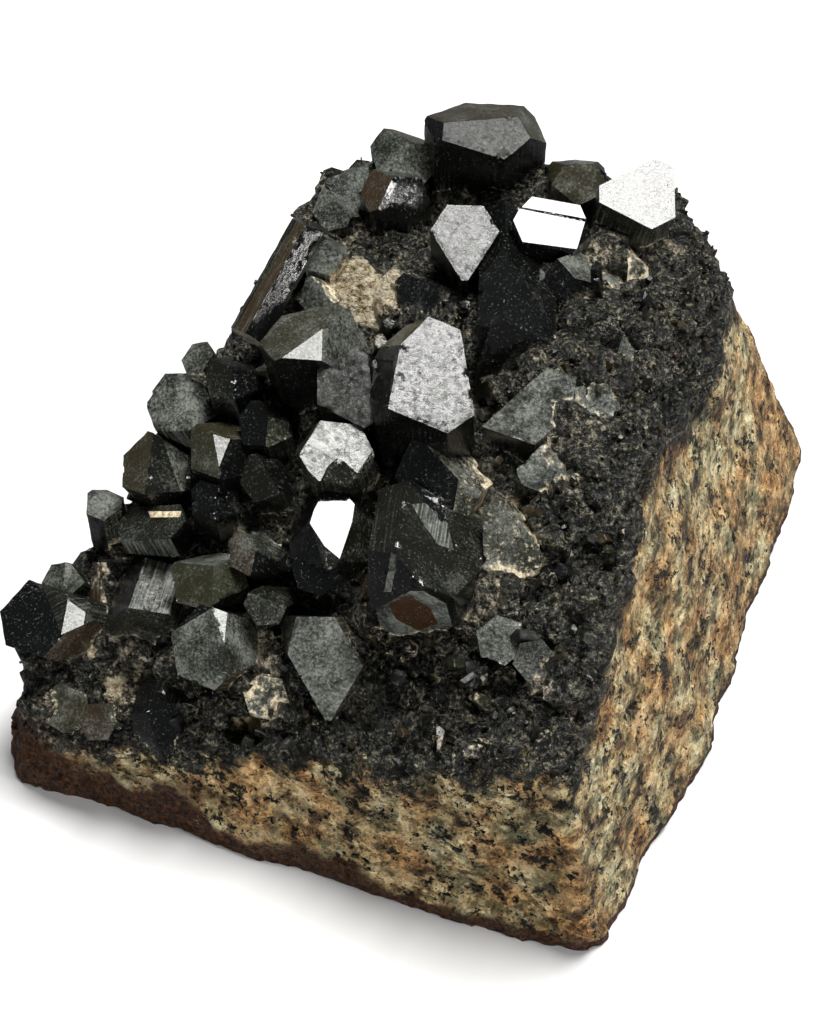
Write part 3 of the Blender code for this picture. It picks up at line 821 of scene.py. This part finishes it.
def cutOutline(mesh, whole, corners):
    # cuts along the outline as the camera sees it, and gives its inside a facet number of its own
    rays = pictureRays(corners)
    bpy.ops.object.mode_set(mode="EDIT")
    bpy.ops.mesh.select_mode(type="FACE")
    for start, stop in zip(rays, rays[1:] + rays[:1]):
        bpy.ops.mesh.select_all(action="DESELECT")
        edited = bmesh.from_edit_mesh(mesh)
        layer = edited.faces.layers.int["facet"]
        for face in edited.faces:
            if face[layer] == whole:
                face.select_set(True)
        bmesh.update_edit_mesh(mesh)
        bpy.ops.mesh.bisect(plane_co=eye, plane_no=start.cross(stop).normalized())
    endEdit()
    ids = mesh.attributes["facet"].data
    own = max(number.value for number in ids) + 1
    inner = [face.index for face in mesh.polygons
             if ids[face.index].value == whole and insideOutline(*pixelOf(face.center), corners)]
    for index in inner:
        ids[index].value = own
    return own if inner else None


def letFallAway(mesh, whole, bright, facing):
    # what is left of a face slopes away from its bright parts, so that only they catch the light
    ids = mesh.attributes["facet"].data
    inner = [face for face in mesh.polygons if ids[face.index].value in bright]
    kept = {corner for face in inner for corner in face.vertices}
    edges = [(mesh.vertices[a].co, mesh.vertices[b].co) for face in inner for a, b in face.edge_keys]
    rest = [face for face in mesh.polygons if ids[face.index].value == whole]
    for corner in {corner for face in rest for corner in face.vertices} - kept:
        spot = mesh.vertices[corner].co
        gaps = []
        for a, b in edges:
            along = min(1, max(0, (spot - a).dot(b - a) / max((b - a).length_squared, 1e-12)))
            gaps.append((spot - a - (b - a) * along).length)
        mesh.vertices[corner].co -= facing * wear["fallAway"] * min(gaps)


def cutOutlines(piece, nodeName):
    # the outlines that lie on this piece, as facet number and finish
    kinds, bright = {}, {}
    for kind, corners in outlines:
        face = outlinedFace(piece, nodeName, corners)
        if face is None:
            continue
        whole, facing = face
        own = cutOutline(piece.data, whole, corners)
        if own is None:
            continue
        kinds[own] = kind
        if finishes[kind][-1]:
            bright.setdefault(whole, (facing, []))[1].append(own)
    for whole, (facing, numbers) in bright.items():
        letFallAway(piece.data, whole, numbers, facing)
    return kinds


def finishFacets(piece, members, cut, chance):
    # the finish and directions of each facet; a bright one is turned to mirror the lamp
    facets = {}
    mesh = piece.data
    ids = mesh.attributes["facet"].data
    points = [vertex.co.copy() for vertex in mesh.vertices]
    for i, polygon in enumerate(mesh.polygons):
        number = ids[i].value
        if number in facets:
            continue
        middle, facing = polygon.center.copy(), polygon.normal.copy()
        axis = direction(*members[ownerOf(middle, members)][1])
        cap = abs(facing.dot(axis)) > 0.3
        name = "soft" if chance.random() < 0.6 else "black"
        for kind, spot, looks in finishSpots:
            if facing.dot(looks) > 0.9 and abs((spot - middle).dot(facing)) < 0.35 * mm:
                if insidePolygon(spot, [points[corner] for corner in polygon.vertices], facing):
                    name = kind
        frost, tone, dusty, film, bright = finishes[cut.get(number, name)]
        if bright:
            wanted = ((eye - middle).normalized() + (lampPlace - middle).normalized()).normalized()
            for corner in polygon.vertices:
                vertex = mesh.vertices[corner]
                vertex.co += axis * (middle - vertex.co).dot(wanted) / axis.dot(wanted)
            facing = wanted
        change = chance.uniform(0.8, 1.25)
        across = axis.cross(facing)
        across = across.normalized() if across.length > 0.05 else facing.orthogonal()
        facets[number] = {"axis": axis, "across": across, "cap": cap, "bright": bright,
                          "frost": frost * change, "tone": tone * change,
                          "dust": dusty * change, "film": film * change}
    return facets


def wearDown(piece, facetOf, facets):
    # rubs and chips the edges and gives each facet its relief; returns the points before that, and their dust
    mesh = piece.data
    points, outwards = perVertex(piece, "co"), perVertex(piece, "normal")
    owners = [set() for point in points]
    for polygon in mesh.polygons:
        for corner in polygon.vertices:
            owners[corner].add(facetOf[polygon.index])
    rim = [i for i in range(len(points)) if len(owners[i]) > 1]
    tree = KDTree(len(rim))
    for i in rim:
        tree.insert(points[i], i)
    tree.balance()
    moved = points.copy()
    dusty = np.zeros(len(points))
    for i in range(len(points)):
        p = Vector(points[i])
        near = tree.find(p)[2]
        worn = math.exp(-(near / wear["edgeReach"]) ** 2)
        facet = facets[next(iter(owners[i]))]
        crisp = any(facets[owner]["bright"] for owner in owners[i])   # bright faces keep straight edges
        push = 0 if crisp else -wear["edge"] * worn * (0.75 + noise.noise(p / wear["edgeWave"]))
        if noise.noise(p / wear["chipSize"] + Vector((7, 3, 1))) > wear["fewChips"] and not crisp:
            push -= wear["chip"] * math.exp(-(near / wear["chipReach"]) ** 2)
        inside = 1 - worn
        if facet["cap"]:
            fine, broad = wear["etchSizes"]
            etched = tiltedCells(p, fine) + noise.noise(p / broad)
            push += inside * facet["frost"] * wear["etch"] * etched
        else:
            line = Vector((p.dot(facet["across"]) / mm * 0.9, p.dot(facet["axis"]) / mm * 0.05, 3))
            push += inside * wear["lines"] * noise.noise(line)
        moved[i] = points[i] + outwards[i] * push
        gap = rockTree.find_nearest(p, 3 * mm)[3]
        if gap is not None:
            dusty[i] = math.exp(-gap / wear["dustReach"])
    moveTo(piece, moved)
    return points, dusty


def paintFacets(mesh, points, dusty, facetOf, facets):
    # finish and film for the material, and a map in mm with u across the prism and v along it
    finish = np.ones((len(mesh.loops), 4))
    film = np.zeros(len(mesh.loops))
    grain = np.zeros((len(mesh.loops), 2))
    for polygon in mesh.polygons:
        number = facetOf[polygon.index]
        facet = facets[number]
        for loop in polygon.loop_indices:
            vertex = mesh.loops[loop].vertex_index
            p = Vector(points[vertex])
            dustHere = min(1, facet["dust"] + 0.6 * dusty[vertex])
            finish[loop] = (facet["frost"], facet["tone"], dustHere, 0 if facet["cap"] else 1)
            film[loop] = min(1, facet["film"] + 0.35 * dusty[vertex])
            grain[loop] = (p.dot(facet["across"]) / mm + number * 3.7, p.dot(facet["axis"]) / mm)
    mesh.uv_layers.new(name="grain").data.foreach_set("uv", grain.reshape(-1))
    writeLayer(mesh, "finish", "FLOAT_COLOR", "CORNER", finish.reshape(-1))
    writeLayer(mesh, "film", "FLOAT", "CORNER", film)


def sharpen(mesh, facetOf):
    # smooth inside each facet, sharp where two facets meet
    sides = {}
    for polygon in mesh.polygons:
        for key in polygon.edge_keys:
            sides.setdefault(key, []).append(polygon.index)
    flags = []
    for edge in mesh.edges:
        pair = sides.get(tuple(sorted(edge.vertices)), [])
        angles = [mesh.polygons[pair[0]].normal.angle(mesh.polygons[index].normal, 0) for index in pair[1:]]
        flags.append(len({facetOf[index] for index in pair}) > 1 and max(angles, default=0) > math.radians(6))
    mesh.polygons.foreach_set("use_smooth", [True] * len(mesh.polygons))
    layer = mesh.attributes.get("sharp_edge") or mesh.attributes.new("sharp_edge", "BOOLEAN", "EDGE")
    layer.data.foreach_set("value", flags)


def makeCrystals(nodeName, members, chance):
    words = nodeName.split("_")
    piece = copyOfNode(nodeName, words[0] + "".join(word.capitalize() for word in words[1:]))
    mesh = piece.data
    startEdit()
    bpy.ops.mesh.dissolve_limited(angle_limit=math.radians(0.7))
    endEdit()
    writeLayer(mesh, "facet", "INT", "FACE", range(len(mesh.polygons)))
    facets = finishFacets(piece, members, cutOutlines(piece, nodeName), chance)
    startEdit()
    bpy.ops.mesh.quads_convert_to_tris(quad_method="BEAUTY", ngon_method="BEAUTY")
    endEdit()
    refine(piece)
    facetOf = np.zeros(len(mesh.polygons), int)
    mesh.attributes["facet"].data.foreach_get("value", facetOf)
    points, dusty = wearDown(piece, facetOf, facets)
    paintFacets(mesh, points, dusty, facetOf, facets)
    sharpen(mesh, facetOf)
    mesh.materials.append(schorlLook)
    print(piece.name, len(mesh.polygons), "faces")
    return piece


(keyCompass, keyHeight), keyDistance = studio["key"][:2]
lampPlace = place(studio["aim"]) + direction(keyCompass, 90 - keyHeight) * keyDistance
finishSpots = findSpots()
chance = random.Random(11)
crystalPieces = {name: makeCrystals(name, members, chance) for name, members in crystals.items()}

# small broken crystals that fill the druse between the large ones

shards = {
    "seed": 5,
    "count": 1300,
    "sizes": (0.8, 3.8),     # mm, mostly near the smaller one
    "rimSize": 1.3,          # mm at most along the rims
    "lean": (250, 22),       # compass and degrees from upright
    "stray": 0.45,
    # sides, taper and height of each shape
    "shapes": ((3, 0.5, 1.6), (4, 0.35, 1.2), (5, 0.6, 1.1), (6, 0.8, 1.6), (4, 0.15, 0.9)),
    "frost": (0.3, 0.9),
    "tones": (0, 0, 0.3, 0.7),
    "dusts": (0, 0.1, 0.25, 0.45),
    "films": (0.05, 0.1, 0.3, 0.5),
}


def shardShapes():
    shapes = []
    for kind, (sides, taper, tall) in enumerate(shards["shapes"]):
        bpy.ops.mesh.primitive_cone_add(vertices=sides, radius1=0.5, radius2=0.5 * taper, depth=tall)
        startEdit()
        bpy.ops.transform.vertex_random(offset=0.10, seed=kind)
        bpy.ops.mesh.bevel(offset=0.035, segments=1)
        endEdit()
        shapes.append(bpy.context.object)
    return shapes


def crustFaces():
    # faces of the rock that are all crust and not pale
    mesh = rockPiece.data
    masks = np.zeros(len(mesh.vertices) * 4)
    mesh.attributes["masks"].data.foreach_get("color", masks)
    crust, pale = masks[0::4], masks[1::4]
    return [face for face in mesh.polygons if crust[face.vertices[0]] > 0.95 and pale[face.vertices[0]] < 0.5]


def shardSize(face, trees, chance):
    low, high = shards["sizes"]
    size = (low + (high - low) * chance.random() ** 3) * mm
    if any(tree.ray_cast(face.center, face.normal, 1.2 * size)[0] is not None for tree in trees):
        size *= 0.4      # under a crystal
    onRim = face.center.y > 18 * mm or face.center.x < -50 * mm or face.normal.x > 0.35
    return min(size, shards["rimSize"] * mm) if onRim else size


def makeShards():
    chance = random.Random(shards["seed"])
    shapes = shardShapes()
    trees = [treeOf(piece) for piece in crystalPieces.values()]
    places = crustFaces()
    copies = []
    for number in range(shards["count"]):
        face = chance.choice(places)
        size = shardSize(face, trees, chance)
        stray = Vector([chance.gauss(0, shards["stray"]) for axis in range(3)])
        way = (face.normal + direction(*shards["lean"]) * 0.8 + stray).normalized()
        copy = bpy.data.objects.new("shard", chance.choice(shapes).data.copy())
        bpy.context.scene.collection.objects.link(copy)
        spin = Matrix.Rotation(chance.uniform(0, 6.28), 4, "Z")
        widths = [size * chance.uniform(*limits) for limits in ((0.6, 1.1), (0.6, 1.1), (0.7, 1.5))]
        turn = way.to_track_quat("Z", "Y").to_matrix().to_4x4() @ spin
        copy.data.transform(Matrix.Translation(face.center) @ turn @ Matrix.Diagonal((*widths, 1)))
        finish = (chance.uniform(*shards["frost"]), chance.choice(shards["tones"]),
                  chance.choice(shards["dusts"]), 1)
        corners = len(copy.data.loops)
        writeLayer(copy.data, "film", "FLOAT", "CORNER", [chance.choice(shards["films"])] * corners)
        writeLayer(copy.data, "finish", "FLOAT_COLOR", "CORNER", finish * corners)
        copies.append(copy)
    for shape in shapes:
        bpy.data.objects.remove(shape)
    onlySelect(copies[0])
    for copy in copies:
        copy.select_set(True)
    bpy.ops.object.join()
    piece = bpy.context.object
    piece.name = "druseShards"
    piece.data.uv_layers[0].name = "grain"
    piece.data.materials.clear()
    piece.data.materials.append(schorlLook)
    print("shards:", len(piece.data.polygons), "faces")
    return piece


shardPiece = makeShards()

# what stands for what

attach(rockPiece, "root")
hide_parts("granite_matrix")
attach(shardPiece, "root")
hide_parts("granite_matrix")
for nodeName, piece in crystalPieces.items():
    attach(piece, "root")
    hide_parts(nodeName)


# studio

def addCamera():
    camera = bpy.data.cameras.new("camera")
    camera.lens = studio["lens"]
    camera.sensor_width = studio["sensor"]
    camera.clip_start = 0.01
    holder = bpy.data.objects.new("camera", camera)
    bpy.context.scene.collection.objects.link(holder)
    turn = Matrix(((1, 0, 0), (0, cameraUp.y, cameraBack.y), (0, cameraUp.z, cameraBack.z))).to_4x4()
    holder.matrix_world = Matrix.Translation(eye) @ turn
    bpy.context.scene.camera = holder


def addLamp(name):
    (compass, height), distance, size, power, colour = studio[name]
    lamp = bpy.data.lights.new(name, "AREA")
    lamp.size = size
    lamp.energy = power
    lamp.color = colour
    holder = bpy.data.objects.new(name, lamp)
    bpy.context.scene.collection.objects.link(holder)
    towards = direction(compass, 90 - height)
    holder.location = place(studio["aim"]) + towards * distance
    holder.rotation_euler = towards.to_track_quat("Z", "Y").to_euler()


def addFloor():
    bpy.ops.object.select_all(action="DESELECT")
    bpy.ops.mesh.primitive_plane_add(size=studio["floorSize"], location=(0, 0, 0))
    floor = bpy.context.object
    floor.name = "studioFloor"
    paper, tree, shader = newMaterial("paleFloor")
    glossy = put(tree, "LightPath").outputs["Is Glossy Ray"]
    tree.links.new(blend(tree, glossy, studio["floor"], studio["floorInGloss"]), shader.inputs["Base Color"])
    shader.inputs["Roughness"].default_value = 0.9
    floor.data.materials.append(paper)


addCamera()
for name in ("key", "front", "side"):
    addLamp(name)
world = bpy.data.worlds.new("studio")
bpy.context.scene.world = world
world.use_nodes = True
world.node_tree.nodes["Background"].inputs[0].default_value = (*studio["sky"], 1)
addFloor()
bpy.context.scene.view_settings.view_transform = "Standard"
print("studio ready")

bpy.context.view_layer.update()
